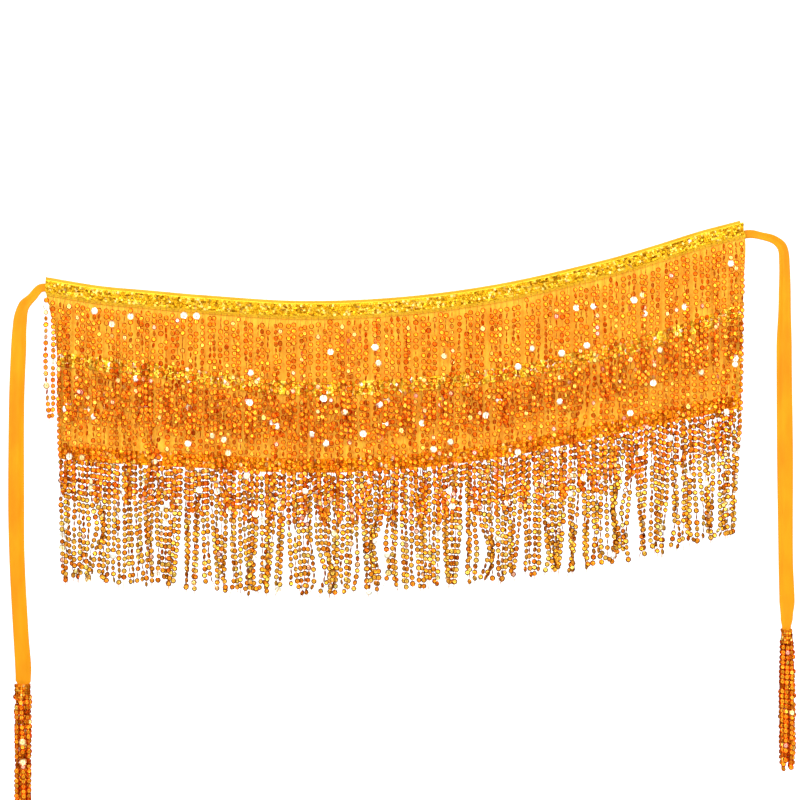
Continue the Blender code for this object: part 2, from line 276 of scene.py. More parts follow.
def noiseOver(tree, scale, detail, stretch=None, roughness=0.5):
    place = put(tree, "ShaderNodeTexCoord").outputs["Object"]
    if stretch:
        place = put(tree, "ShaderNodeMapping", {"Vector": place, "Scale": stretch}).outputs[0]
    inputs = {"Vector": place, "Scale": scale, "Detail": detail, "Roughness": roughness}
    return put(tree, "ShaderNodeTexNoise", inputs).outputs["Fac"]


def rampColours(tree, value, stops):
    node = put(tree, "ShaderNodeValToRGB", {"Fac": value})
    ramp = node.color_ramp
    while len(ramp.elements) < len(stops):
        ramp.elements.new(0.5)
    for element, (place, colour) in zip(ramp.elements, stops):
        element.position = place
        element.color = (*colour, 1)
    return node.outputs["Color"]


def newMaterial(name):
    material = bpy.data.materials.new(name)
    material.use_nodes = True
    return material, material.node_tree, material.node_tree.nodes["Principled BSDF"]


def weave(tree, pitchesPerMetre):
    # crossed threads, read from the cut's own map so that they run with the cloth
    flat = put(tree, "ShaderNodeUVMap", uv_map="cut").outputs["UV"]
    inputs = {"Vector": flat, "Scale": pitchesPerMetre / (2 * math.pi), "Distortion": 0.6, "Detail": 1.0}
    warp, weft = (put(tree, "ShaderNodeTexWave", inputs, bands_direction=way).outputs["Fac"] for way in "XY")
    return mathNode(tree, "MULTIPLY", warp, weft)


def clothMaterial(name, look, stops):
    # a woven cloth in two tones that drift over it
    material, tree, shader = newMaterial(name)
    drift = noiseOver(tree, look["patches"], look["detail"], look["stretch"], look["patchRoughness"])
    colour = rampColours(tree, drift, stops)
    threads = weave(tree, look["threads"])
    bump = put(tree, "ShaderNodeBump", {
        "Height": threads, "Strength": look["bump"], "Distance": look["weaveDepth"],
    }).outputs[0]
    tree.links.new(colour, shader.inputs["Base Color"])
    tree.links.new(bump, shader.inputs["Normal"])
    shader.inputs["Roughness"].default_value = look["roughness"]
    shader.inputs["Specular IOR Level"].default_value = look["shine"]
    return material, colour, bump


clothLook = {
    "tones": [(0.34, (0.91, 0.430, 0.015)), (0.62, (0.94, 0.600, 0.045))],
    "patches": 1.0,
    "stretch": (230.0, 230.0, 9.0),
    "detail": 3.0,
    "patchRoughness": 0.6,
    "threads": 1500.0,
    "weaveDepth": 0.00012,
    "bump": 0.5,
    "roughness": 0.62,
    "shine": 0.25,
    "sheen": 0.08,
    "opaque": 0.94,
    "litThrough": 0.25,
}


def sheerClothMaterial():
    # the same, but some light passes through it
    material, colour, bump = clothMaterial("sheerOrangeCloth", clothLook, clothLook["tones"])
    tree = material.node_tree
    shader = tree.nodes["Principled BSDF"]
    shader.inputs["Sheen Weight"].default_value = clothLook["sheen"]
    shader.inputs["Alpha"].default_value = clothLook["opaque"]
    glow = put(tree, "ShaderNodeBsdfTranslucent", {"Color": colour, "Normal": bump}).outputs[0]
    inputs = {0: clothLook["litThrough"], 1: shader.outputs[0], 2: glow}
    mix = put(tree, "ShaderNodeMixShader", inputs).outputs[0]
    tree.links.new(mix, tree.nodes["Material Output"].inputs["Surface"])
    return material


bandLook = {
    "tieCloth": [(0.36, (0.60, 0.215, 0.001)), (0.64, (0.70, 0.270, 0.002))],
    "casingCloth": [(0.36, (0.50, 0.265, 0.006)), (0.64, (0.57, 0.320, 0.012))],
    # painted light: a lighter copy of the casing cloth that lifts the shade the braid casts on the casing's
    # lower edge; the top tier's tape wears it too
    "casingEdge": [(0.36, (0.84, 0.500, 0.016)), (0.64, (0.92, 0.580, 0.028))],
    "casingBack": [(0.36, (0.84, 0.355, 0.010)), (0.64, (0.92, 0.415, 0.018))],
    "patches": 46.0,
    "stretch": (1.0, 1.0, 0.35),
    "detail": 3.0,
    "patchRoughness": 0.5,
    "threads": 1900.0,
    "weaveDepth": 0.00010,
    "bump": 0.4,
    "roughness": 0.55,
    "shine": 0.12,
}


# Each sequin keeps its own tint, and rim runs from 0 at its middle to 1 at its edge. The hole colour is the
# thread in it, darkened by painted shade, and the rim colours are painted shade: the dark reflection round
# each cup's edge
sequinLook = {
    # the palest stops at the top of each ramp, up to white, are painted glints, most of them on the few
    # sequins set square on
    "strand": [
        (0.00, (0.66, 0.110, 0.004)), (0.10, (0.84, 0.230, 0.007)), (0.24, (0.92, 0.330, 0.013)),
        (0.70, (0.93, 0.380, 0.020)), (0.84, (0.96, 0.440, 0.030)), (0.90, (0.98, 0.620, 0.066)),
        (0.925, (1.00, 0.720, 0.110)), (0.94, (1.00, 0.480, 0.400)), (0.957, (1.00, 0.820, 0.180)),
        (0.985, (1.00, 0.960, 0.800)),
    ],
    "hanging": [
        (0.00, (0.66, 0.130, 0.005)), (0.10, (0.88, 0.250, 0.010)), (0.34, (0.98, 0.390, 0.022)),
        (0.62, (0.98, 0.480, 0.040)), (0.80, (0.96, 0.560, 0.070)), (0.90, (0.96, 0.640, 0.100)),
        (0.925, (1.00, 0.680, 0.100)), (0.94, (1.00, 0.480, 0.360)), (0.957, (1.00, 0.780, 0.130)),
        (0.985, (1.00, 0.960, 0.800)),
    ],
    "braid": [
        (0.00, (0.40, 0.190, 0.004)), (0.14, (0.60, 0.290, 0.006)), (0.40, (0.67, 0.345, 0.010)),
        (0.72, (0.74, 0.420, 0.024)), (0.90, (0.84, 0.560, 0.090)), (0.95, (0.86, 0.560, 0.180)),
        (0.965, (0.90, 0.680, 0.180)), (0.99, (1.00, 0.940, 0.700)),
    ],
    "trim": [
        (0.00, (0.60, 0.220, 0.006)), (0.12, (0.90, 0.500, 0.014)), (0.40, (0.97, 0.640, 0.034)),
        (0.70, (1.00, 0.760, 0.090)), (0.88, (0.98, 0.680, 0.090)), (0.94, (1.00, 0.620, 0.360)),
        (0.96, (1.00, 0.820, 0.200)), (0.99, (1.00, 0.960, 0.800)),
    ],
    "hem": [
        (0.00, (0.60, 0.140, 0.002)), (0.14, (0.82, 0.240, 0.004)), (0.40, (0.90, 0.300, 0.006)),
        (0.70, (0.94, 0.360, 0.010)), (0.90, (0.96, 0.480, 0.034)), (0.94, (1.00, 0.460, 0.260)),
        (0.96, (1.00, 0.700, 0.120)), (0.99, (1.00, 0.950, 0.700)),
    ],
    # painted shade: the rim colours darken each cup's edge as a dark reflection, and the hole colour darkens
    # its middle
    "rim": (0.56, 0.11, 0.08),
    "hangingRim": (0.26, 0.17, 0.20),
    "braidRim": (0.84, 0.74, 0.55),
    "hole": (0.26, 0.10, 0.06),
    "edgeTint": (0.80, 0.42, 0.22),
    "roughness": 0.34,
    "strandRoughness": 0.44,
    "braidRoughness": 0.42,
    "rimStops": (0.10, 0.15, 0.605, 0.65),  # where the painted hole shade, the face and the painted rim shade begin, from the middle out
    "glint": (0.96, 0.985),  # tints past these are painted glints, too bright to show the painted rim shade
    "scuffs": 900.0,
    "scuffed": (-0.06, 0.10),
}


def sequinMaterial(name, stops, rimShadeColour, roughness):
    material, tree, shader = newMaterial(name)
    tint = put(tree, "ShaderNodeAttribute", attribute_name="tint").outputs["Fac"]
    rim = put(tree, "ShaderNodeAttribute", attribute_name="rim").outputs["Fac"]
    face = rampColours(tree, tint, stops)
    white = (1, 1, 1)
    # painted shade: the hole and the cup's edge are darkened, and the face is left as it is
    tones = (sequinLook["hole"], white, white, rimShadeColour)
    shade = rampColours(tree, rim, list(zip(sequinLook["rimStops"], tones)))
    # the palest tints are painted glints and keep no painted rim shade
    glint = rescaled(tree, tint, *sequinLook["glint"], 1.0, 0.0)
    shade = put(tree, "ShaderNodeMix", {0: glint, 6: (*white, 1), 7: shade}, data_type="RGBA").outputs[2]
    scuffs = noiseOver(tree, sequinLook["scuffs"], 2.0)
    rough = rescaled(tree, scuffs, 0.3, 0.7, *(roughness + change for change in sequinLook["scuffed"]))
    toned = put(tree, "ShaderNodeVectorMath", {0: face, 1: shade}, operation="MULTIPLY").outputs[0]
    tree.links.new(toned, shader.inputs["Base Color"])
    tree.links.new(rough, shader.inputs["Roughness"])
    shader.inputs["Metallic"].default_value = 1.0
    shader.inputs["Specular Tint"].default_value = (*sequinLook["edgeTint"], 1)
    return material


threadLook = {"strand": (0.74, 0.25, 0.02), "sewing": (0.80, 0.26, 0.02), "dark": 0.62, "twist": 700.0,
              "roughness": 0.6, "shine": 0.2}


def threadMaterial(name, colour, opaque):
    material, tree, shader = newMaterial(name)
    dark = tuple(threadLook["dark"] * part for part in colour)
    tone = rampColours(tree, noiseOver(tree, threadLook["twist"], 2.0), [(0.35, dark), (0.65, colour)])
    tree.links.new(tone, shader.inputs["Base Color"])
    shader.inputs["Roughness"].default_value = threadLook["roughness"]
    shader.inputs["Specular IOR Level"].default_value = threadLook["shine"]
    shader.inputs["Alpha"].default_value = opaque
    return material


sheerCloth = sheerClothMaterial()
tieCloth, casingCloth, casingEdge, casingBack = (
    clothMaterial(name, bandLook, bandLook[name])[0]
    for name in ("tieCloth", "casingCloth", "casingEdge", "casingBack")
)
strandSequins = sequinMaterial("strandSequins", sequinLook["strand"], sequinLook["rim"],
                               sequinLook["strandRoughness"])
hangingSequins = sequinMaterial("hangingSequins", sequinLook["hanging"], sequinLook["hangingRim"],
                                sequinLook["roughness"])
braidSequins, trimSequins, hemSequins = (
    sequinMaterial(kind + "Sequins", sequinLook[kind], sequinLook["braidRim"], sequinLook["braidRoughness"])
    for kind in ("braid", "trim", "hem")
)
strandThread = threadMaterial("strandThread", threadLook["strand"], 0.80)
sewingThread = threadMaterial("sewingThread", threadLook["sewing"], 1.0)
print("materials made")


# A sequin: a dimple where the thread goes through, or none, a flat ring and a steeper cup round it.
# It faces -Y, and Z runs along its thread
# fade is how much less painted rim shade the top and bottom of a cup get than its sides
sequinShape = {"sides": 7, "radius": 0.0037, "flat": 0.0023, "dimple": 0.00015, "cup": 0.0006,
               "film": 0.00022, "stand": 0.00055, "fade": 0.44}
hangingShape = {**sequinShape, "flat": 0.0020, "cup": 0.0008, "fade": 0.32}
braidShape = {"sides": 7, "radius": 0.0022, "flat": 0.0014, "dimple": 0.0, "cup": 0.0003, "film": 0.0002,
              "stand": 0.0002, "fade": 0.36}


def sequinObject(name, shape):
    # each ring is its radius, how far back it lies, and its rim value, which sets where the painted rim shade
    # falls
    sides, flat, stand = shape["sides"], shape["flat"], shape["stand"]
    turns = [2 * math.pi * (side + 0.5) / sides for side in range(sides)]
    rings = [(shape["radius"], shape["cup"], 1.0), (flat, 0.0, 0.6), (flat, shape["film"], 0.6)]
    points, rims = [], []
    for radius, back, rim in rings:
        points += [(radius * math.cos(a), back - stand, radius * math.sin(a)) for a in turns]
        # painted shade: the cup's edge is darkest at its left and right, where it would reflect the dim sides
        # of the room
        rims += [rim - (shape["fade"] * (1 - abs(math.cos(a))) if rim == 1.0 else 0.0) for a in turns]
    faces = []
    for side in range(sides):
        after = (side + 1) % sides
        faces.append((side, after, sides + after, sides + side))
        faces.append((after, side, 2 * sides + side, 2 * sides + after))
    if shape["dimple"]:
        front, back = 3 * sides, 3 * sides + 1
        points += [(0, shape["dimple"] - stand, 0), (0, shape["dimple"] + shape["film"] - stand, 0)]
        rims += [0.0, 0.0]
        for side in range(sides):
            after = (side + 1) % sides
            faces.append((sides + side, sides + after, front))
            faces.append((2 * sides + after, 2 * sides + side, back))
    else:
        faces.append(tuple(sides + side for side in range(sides)))
        faces.append(tuple(2 * sides + side for side in reversed(range(sides))))
    piece = makeObject(name, points, faces, [], smooth=False)
    piece.data.attributes.new("rim", "FLOAT", "POINT").data.foreach_set("value", rims)
    return piece


stitchShape = {"length": 0.0024, "width": 0.00045, "around": 5, "swell": (0.4, 1.0, 0.4)}


def stitchObject(name, shape):
    # a short rounded stitch, lying along Z
    around, points, faces = shape["around"], [], []
    for up, swell in zip((-0.5, 0.0, 0.5), shape["swell"]):
        radius = shape["width"] / 2 * swell
        for side in range(around):
            turn = 2 * math.pi * side / around
            points.append((radius * math.cos(turn), radius * math.sin(turn), up * shape["length"]))
    for low in (0, around):
        for side in range(around):
            after = (side + 1) % around
            faces.append((low + side, low + after, low + around + after, low + around + side))
    faces.append(tuple(reversed(range(around))))
    faces.append(tuple(2 * around + side for side in range(around)))
    return makeObject(name, points, faces, [])


def newTree(name, inputs):
    tree = bpy.data.node_groups.new(name, "GeometryNodeTree")
    tree.is_modifier = True
    tree.interface.new_socket("Geometry", in_out="INPUT", socket_type="NodeSocketGeometry")
    for label, kind in inputs:
        tree.interface.new_socket(label, in_out="INPUT", socket_type="NodeSocket" + kind)
    tree.interface.new_socket("Geometry", in_out="OUTPUT", socket_type="NodeSocketGeometry")
    return tree, put(tree, "NodeGroupInput").outputs, put(tree, "NodeGroupOutput").inputs


stringing = {
    "bareNoise": (700.0, 40.0, 55.0),
    "tints": (0.0, 0.965),
    # the tints of the painted glints
    "glintTints": (0.955, 1.02),
    "threadSides": 3,
    "thinnest": 0.00001,  # a thread thinner than this isn't made
}


def strungTree():
    # threads one small piece after another along each line: sequins on a strand or a tape, or stitches
    tree, given, result = newTree("strungAlongLines", [
        ("Piece", "Object"), ("Pitch", "Float"), ("Size", "Float"), ("Size Spread", "Float"),
        ("Turn", "Float"), ("Nod", "Float"), ("Lean", "Float"), ("Flipped", "Float"), ("Bright", "Float"),
        ("Bright Size", "Float"), ("Bare", "Float"), ("Thread Radius", "Float"), ("Seed", "Int"),
        ("Piece Material", "Material"), ("Thread Material", "Material"),
    ])
    lines = put(tree, "GeometryNodeMeshToCurve", {"Mesh": given["Geometry"]}).outputs[0]
    spots = put(tree, "GeometryNodeCurveToPoints", {"Curve": lines, "Length": given["Pitch"]}, mode="LENGTH")

    def calc(operation, first, second):
        return mathNode(tree, operation, first, second)

    def chance(low, high, offset):
        seed = calc("ADD", given["Seed"], offset)
        return put(tree, "FunctionNodeRandomValue", {2: low, 3: high, "Seed": seed}).outputs[1]

    def onLine(label, kind):
        return put(tree, "GeometryNodeInputNamedAttribute", {"Name": label}, data_type=kind).outputs[0]

    def without(geometry, selection):
        inputs = {"Geometry": geometry, "Selection": selection}
        return put(tree, "GeometryNodeDeleteGeometry", inputs, domain="POINT").outputs[0]

    # short runs of bare thread: the noise changes from strand to strand and slowly down each one
    where = put(tree, "GeometryNodeInputPosition").outputs[0]
    inputs = {0: where, 1: stringing["bareNoise"]}
    spaced = put(tree, "ShaderNodeVectorMath", inputs, operation="MULTIPLY").outputs[0]
    inputs = {"Vector": spaced, "W": given["Seed"], "Scale": 1.0, "Detail": 0.0}
    noise = put(tree, "ShaderNodeTexNoise", inputs, noise_dimensions="4D").outputs[0]
    bare = put(tree, "FunctionNodeCompare", {0: noise, 1: given["Bare"]}, data_type="FLOAT",
               operation="LESS_THAN").outputs[0]
    ended = calc("LESS_THAN", onLine("strung", "FLOAT"), 0.5)
    left = put(tree, "FunctionNodeBooleanMath", {0: bare, 1: ended}, operation="OR").outputs[0]
    kept = without(spots.outputs["Points"], left)

    # face outwards, stand along the thread, then turn a little, each in its own way
    facing = onLine("facing", "FLOAT_VECTOR")
    inwards = put(tree, "ShaderNodeVectorMath", {0: facing, "Scale": -1.0}, operation="SCALE").outputs[0]
    faced = put(tree, "FunctionNodeAlignRotationToVector", {"Vector": inwards}, axis="Y").outputs[0]
    inputs = {"Rotation": faced, "Vector": onLine("along", "FLOAT_VECTOR")}
    stood = put(tree, "FunctionNodeAlignRotationToVector", inputs, axis="Z", pivot_axis="Y").outputs[0]
    uneven = chance(-1.0, 1.0, 1)
    cubed = calc("MULTIPLY", uneven, calc("MULTIPLY", uneven, uneven))
    # a few lie square on and are painted pale to white: painted glints
    bright = calc("LESS_THAN", chance(0.0, 1.0, 6), given["Bright"])
    turn = calc("MULTIPLY", calc("MULTIPLY", cubed, given["Turn"]), calc("SUBTRACT", 1.0, bright))
    flipped = calc("MULTIPLY", calc("LESS_THAN", chance(0.0, 1.0, 2), given["Flipped"]), math.pi)
    nod = calc("ADD", given["Lean"], calc("MULTIPLY", chance(-1.0, 1.0, 3), given["Nod"]))
    own = put(tree, "ShaderNodeCombineXYZ", {0: nod, 2: calc("ADD", turn, flipped)}).outputs[0]
    ownTurn = put(tree, "FunctionNodeEulerToRotation", {0: own}).outputs[0]
    inputs = {"Rotation": stood, "Rotate By": ownTurn}
    turned = put(tree, "FunctionNodeRotateRotation", inputs, rotation_space="LOCAL").outputs[0]
    uneven = calc("ADD", 1.0, calc("MULTIPLY", chance(-1.0, 1.0, 4), given["Size Spread"]))
    grown = calc("ADD", uneven, calc("MULTIPLY", bright, given["Bright Size"]))
    size = calc("MULTIPLY", given["Size"], grown)
    glintTint = calc("MULTIPLY", bright, chance(*stringing["glintTints"], 7))
    tint = calc("MAXIMUM", chance(*stringing["tints"], 5), glintTint)
    source = put(tree, "GeometryNodeObjectInfo", {0: given["Piece"]}).outputs["Geometry"]
    placed = put(tree, "GeometryNodeInstanceOnPoints", {
        "Points": kept, "Instance": source, "Rotation": turned, "Scale": size,
    }).outputs[0]
    tinted = put(tree, "GeometryNodeStoreNamedAttribute", {"Geometry": placed, "Name": "tint", "Value": tint},
                 data_type="FLOAT", domain="INSTANCE").outputs[0]
    pieces = put(tree, "GeometryNodeRealizeInstances", {0: tinted}).outputs[0]
    inputs = {"Geometry": pieces, "Material": given["Piece Material"]}
    pieces = put(tree, "GeometryNodeSetMaterial", inputs).outputs[0]

    inputs = {"Resolution": stringing["threadSides"], "Radius": given["Thread Radius"]}
    ring = put(tree, "GeometryNodeCurvePrimitiveCircle", inputs).outputs[0]
    inputs = {"Curve": lines, "Profile Curve": ring, "Fill Caps": True}
    tube = put(tree, "GeometryNodeCurveToMesh", inputs).outputs[0]
    inputs = {"Geometry": tube, "Material": given["Thread Material"]}
    tube = put(tree, "GeometryNodeSetMaterial", inputs).outputs[0]
    tube = without(tube, calc("LESS_THAN", given["Thread Radius"], stringing["thinnest"]))
    joined = put(tree, "GeometryNodeJoinGeometry").inputs[0]
    tree.links.new(tube, joined)
    tree.links.new(pieces, joined)
    tree.links.new(joined.node.outputs[0], result[0])
    return tree


strung = strungTree()


def settle(piece):
    # the piece's own plain mesh, with no modifier left, riding on the scarf
    made = bpy.data.meshes.new_from_object(piece.evaluated_get(bpy.context.evaluated_depsgraph_get()))
    piece.modifiers.clear()
    piece.data = made
    made.name = piece.name
    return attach(piece, "root")


def lineObject(name, lines):
    # open lines as one mesh of edges: each is its points, which way its pieces face, and where it has any
    points, facings, alongs, strungParts, edges = [], [], [], [], []
    for line, facing, *strungPart in lines:
        first = len(points)
        direction = -np.gradient(line, axis=0)
        direction /= np.linalg.norm(direction, axis=1, keepdims=True)
        points.extend(map(tuple, line))
        facings.append(facing)
        alongs.append(direction)
        strungParts.append(strungPart[0] if strungPart else np.ones(len(line)))
        edges += [(first + i, first + i + 1) for i in range(len(line) - 1)]
    mesh = bpy.data.meshes.new(name)
    mesh.from_pydata(points, edges, [])
    for label, values in (("facing", facings), ("along", alongs)):
        vectors = mesh.attributes.new(label, "FLOAT_VECTOR", "POINT")
        vectors.data.foreach_set("vector", np.vstack(values).astype(np.float32).ravel())
    part = mesh.attributes.new("strung", "FLOAT", "POINT")
    part.data.foreach_set("value", np.concatenate(strungParts).astype(np.float32))
    return intoScene(name, mesh)


plainString = {  # what a line of pieces has unless it says otherwise: even, square on, with no thread
    "Size": 1.0, "Size Spread": 0.0, "Turn": 0.0, "Nod": 0.0, "Lean": 0.0, "Flipped": 0.0, "Bright": 0.0,
    "Bright Size": 0.0, "Bare": -1.0, "Thread Radius": 0.0, "Seed": 1, "Thread Material": strandThread,
}


def stringAlong(name, lines, values):
    piece = lineObject(name, lines)
    modifier = piece.modifiers.new("strung", "NODES")
    modifier.node_group = strung
    for item in strung.interface.items_tree:
        if item.in_out == "INPUT" and item.name != "Geometry":
            modifier[item.identifier] = {**plainString, **values}[item.name]
    return settle(piece)


strandSequin = sequinObject("strandSequin", sequinShape)
hangingSequin = sequinObject("hangingSequin", hangingShape)
braidSequin = sequinObject("braidSequin", braidShape)
stitch = stitchObject("stitch", stitchShape)


clothPanel = {"columns": 250, "rows": 60, "top": 0.0022, "flat": (0.946, 0.242)}
hemShape = {"width": 0.008, "sideTop": 0.90, "inset": 0.0095, "span": 0.981, "steps": 3, "rows": 48,
            "columns": 240}


def placePanel(share, up):
    across = sideOf(share, hang["foldsOpen"] * (1 - up))
    drop = hemOf(across) + up * (clothPanel["top"] - hemOf(across))
    return across, -drop, np.zeros_like(across)


panelCloth = sheetPiece("panelCloth", clothPanel["columns"], clothPanel["rows"], placePanel, layers["cloth"],
                        [sheerCloth])
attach(panelCloth, "root")
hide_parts("cloth_panel")


def placeHem(share, up):
    across = sideOf(hemShape["inset"] + hemShape["span"] * share, hang["foldsOpen"])
    return across, -hemOf(across) + up * hemShape["width"], layers["hem"] + 0 * up


def placeSideHem(side):
    def place(share, up):
        across, height, out = placePanel(np.full_like(up, side), hemShape["sideTop"] * up)
        return across + (share - side) * hemShape["width"], height, layers["hem"] + out

    return place


# The panel's side and bottom edges, turned to the back and sewn down
hems = [
    sheetPiece(name, columns, rows, place, layers["cloth"], [sheerCloth])
    for name, columns, rows, place in (
        ("leftHem", hemShape["steps"], hemShape["rows"], placeSideHem(0)),
        ("rightHem", hemShape["steps"], hemShape["rows"], placeSideHem(1)),
        ("bottomHem", hemShape["columns"], hemShape["steps"], placeHem),
    )
]
for hem in hems:
    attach(hem, "root")
    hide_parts("cloth_panel")
print("cloth hung")


# The waistband: a strip folded over the cloth's top edge, lighter at the back, and painted lighter along its
# lower edge to lift the shade that the braid casts there
waistband = {
    "columns": 300,
    "wallRows": 8,
    "foldSteps": 8,
    "height": 0.024,
    "shoulder": 0.004,
    # edge: how high the painted light reaches up from the casing's lower edge
    "edge": 0.0062,
    "pucker": 0.00022,
    "puckerPitch": 0.0062,
    "puckerWander": 61.0,
    "edgePuckerReach": 0.0035,
    "foldPuckerReach": 0.003,
    "foldPucker": 0.5,  # beside the pucker along the lower edge
    "flat": (0.93, 0.052),
}


def waistbandProfile():
    # rows of (height, out, outward height, outward out) on the inner face: up the front, over, down the back
    inner = layers["onCloth"]
    turn = inner + layers["casing"]
    low, high, count = waistband["height"], waistband["shoulder"], waistband["wallRows"]
    rows = [(-drop, inner, 0.0, 1.0) for drop in np.linspace(low, high, count)]
    for step in range(waistband["foldSteps"] + 1):
        a = math.pi * step / waistband["foldSteps"]
        rows.append((-turn + inner * math.sin(a), inner * math.cos(a), math.sin(a), math.cos(a)))
    rows += [(-drop, -inner, 0.0, -1.0) for drop in np.linspace(high, low, count)]
    return np.array(rows)


def makeWaistband():
    profile = waistbandProfile()
    rows, columns = len(profile) - 1, waistband["columns"]
    share, row = np.meshgrid(np.linspace(0, 1, columns + 1), np.arange(rows + 1))
    share, row = share.ravel(), row.ravel()
    height, out, up, forward = profile[row].T
    across = sideOf(share, -height)
    wander = 3 * np.sin(across * waistband["puckerWander"])
    ripple = np.sin(2 * math.pi * across / waistband["puckerPitch"] + wander)
    puckered = np.exp(-((height + waistband["height"]) / waistband["edgePuckerReach"]) ** 2)
    puckered = puckered + waistband["foldPucker"] * np.exp(-(height / waistband["foldPuckerReach"]) ** 2)
    swell = waistband["pucker"] * ripple * puckered
    sides = [drape(across, height + lift * up, out + lift * forward)
             for lift in (layers["casing"] + swell, swell)]
    piece = makeObject("waistbandCloth", np.vstack(sides), shellFaces(columns, rows),
                       [casingCloth, casingEdge, casingBack])
    middles = np.array([face.center for face in piece.data.polygons])
    drop = riseOf(middles[:, 0]) - middles[:, 2]
    behind = middles[:, 1] > clothAt(middles[:, 0], -drop)[:, 1]
    # the lower edge takes the lighter copy of the cloth: painted light over the braid's shade
    paintedLightEdge = drop > waistband["height"] - waistband["edge"]
    piece.data.polygons.foreach_set("material_index", np.where(behind, 2, paintedLightEdge).astype(np.int32))
    mapCut(piece, np.stack([across, np.where(forward > 0, height, -height)], axis=-1))
    return piece


waistbandCloth = makeWaistband()
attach(waistbandCloth, "root")
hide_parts("waistband")
print("waistband folded over")


# The three lengths of fringe trim, each a tape with rows of overlapping sequins and strands below it
trims = {"height": 0.018, "rowPitch": 0.0029, "pitch": 0.0031, "lift": 0.0006, "inset": 0.0018,
         "columns": 220, "rows": 4, "length": 0.90}
tiers = [
    {
        "name": "top", "node": "fringe_top", "drop": lambda across: 0.0035 + 0 * across,
        "backing": layers["onCasing"], "layer": 0.0080, "seed": 3,
        "cloth": casingEdge, "sequins": braidSequins, "firstRow": 0.0031, "rows": 5, "bright": 0.0012,
        "piece": strandSequin, "look": strandSequins, "size": 0.96, "strands": 116, "firstSequin": 0.006,
        "bare": 0.24, "length": [(0.0, 0.163), (0.9, 0.163)],
    },
    {
        "name": "middle", "node": "fringe_middle", "drop": middleTrimOf,
        "backing": layers["onCloth"], "layer": 0.0056, "seed": 5,
        "cloth": tieCloth, "sequins": trimSequins, "firstRow": 0.0018, "rows": 6, "bright": 0.014,
        "piece": strandSequin, "look": strandSequins, "size": 0.94, "strands": 116, "firstSequin": 0.005,
        "bare": 0.26, "length": [(0.0, 0.173), (0.9, 0.173)],
    },
    {
        "name": "hem", "node": "fringe_bottom", "drop": lambda across: hemOf(across) - trims["height"],
        "backing": layers["onCloth"], "layer": 0.0024, "seed": 8,
        "cloth": tieCloth, "sequins": hemSequins, "firstRow": 0.0018, "rows": 6, "bright": 0.010,
        "piece": hangingSequin, "look": hangingSequins, "size": 1.0, "strands": 152, "firstSequin": 0.0,
        "bare": 0.17,
        "length": [(0.02, 0.161), (0.10, 0.161), (0.148, 0.155), (0.20, 0.161), (0.35, 0.162), (0.49, 0.158),
                   (0.60, 0.163), (0.70, 0.168), (0.76, 0.171), (0.88, 0.168)],
    },
]

braidString = {"Size Spread": 0.12, "Turn": 0.90, "Nod": 0.24, "Lean": 0.12, "Flipped": 0.3,
               "Bright Size": 0.35}
strandString = {"Size Spread": 0.08, "Turn": 1.55, "Nod": 0.18, "Flipped": 0.45, "Bright": 0.0210,
                "Bright Size": 0.28, "Thread Radius": 0.00036}
fringe = {
    "points": 30,
    "pitch": 0.0076,
    "lengthSpread": 0.0045,
    "drift": 0.017,
    "lean": 0.0011,
    "bend": 0.0013,
    "jitter": 0.0009,
    "clump": (2, 6),
    "pull": (0.05, 0.55),
    "clumpFrom": (0.0, 0.6),
    "knot": (2, 4),  # strands whose tips cling together
    "cling": (0.10, 0.90),
    "knotFrom": (0.66, 0.90),
    "knotPast": 1.02,
    "offCentre": 0.002,
    "curl": 0.0075,
    "curlFrom": (0.88, 0.92),  # where the tip turns aside, and where it lifts
    "rootEase": 0.010,
    "rootTuck": 0.001,
    "rootGap": 0.0001,
    "tail": (0.0015, 0.0075),
    "wave": 0.0010,
    "waves": (1.3, 0.5),  # how many down a strand, and how far that differs
    "waveEase": 0.3,
    "partingReach": 0.013,
    "partedBy": 0.9,
    # where the strands part at their tips: across, how far each side is pushed, where down it starts
    "partings": {
        "top": [(0.058, 0.0030, 0.1), (0.150, 0.0026, 0.2), (0.255, 0.0022, 0.0), (0.372, 0.0024, 0.2),
                (0.470, 0.0020, 0.3), (0.566, 0.0026, 0.1), (0.668, 0.0022, 0.2), (0.781, 0.0028, 0.1)],
        "middle": [(0.091, 0.0030, 0.2), (0.212, 0.0026, 0.3), (0.338, 0.0026, 0.1), (0.441, 0.0024, 0.3),
                   (0.530, 0.0028, 0.2), (0.642, 0.0024, 0.1), (0.738, 0.0026, 0.2), (0.825, 0.0022, 0.3)],
        "hem": [(0.1755, 0.0042, 0.1), (0.199, 0.0034, 0.2), (0.312, 0.0046, 0.3), (0.3965, 0.0052, 0.4),
                (0.611, 0.0040, 0.1), (0.688, 0.0066, 0.2), (0.715, 0.0044, 0.2), (0.754, 0.0046, 0.3),
                (0.7735, 0.0036, 0.2), (0.8034, 0.0050, 0.2), (0.832, 0.0042, 0.3)],
    },
    "snagReach": 0.0125,
    "snagWidth": 0.10,
    "snagShortens": 0.006,
    # strands caught on their neighbours: tier, across, how far down, how far sideways
    "snags": [("top", 0.081, 0.50, 0.012), ("top", 0.300, 0.62, -0.010), ("top", 0.512, 0.44, 0.011),
              ("middle", 0.128, 0.66, 0.017), ("middle", 0.148, 0.55, -0.014), ("middle", 0.404, 0.58, 0.013),
              ("middle", 0.690, 0.52, -0.015), ("hem", 0.060, 0.55, 0.012), ("hem", 0.352, 0.80, 0.015),
              ("hem", 0.432, 0.62, -0.012), ("hem", 0.560, 0.74, 0.014), ("hem", 0.742, 0.60, -0.012)],
}


def partingDrift(across):
    slopes = [row[2] * (row[0] - across) / row[1] ** 2 * np.exp(-0.5 * ((across - row[0]) / row[1]) ** 2)
              for row in hang["folds"]]
    return fringe["drift"] * sum(slopes)


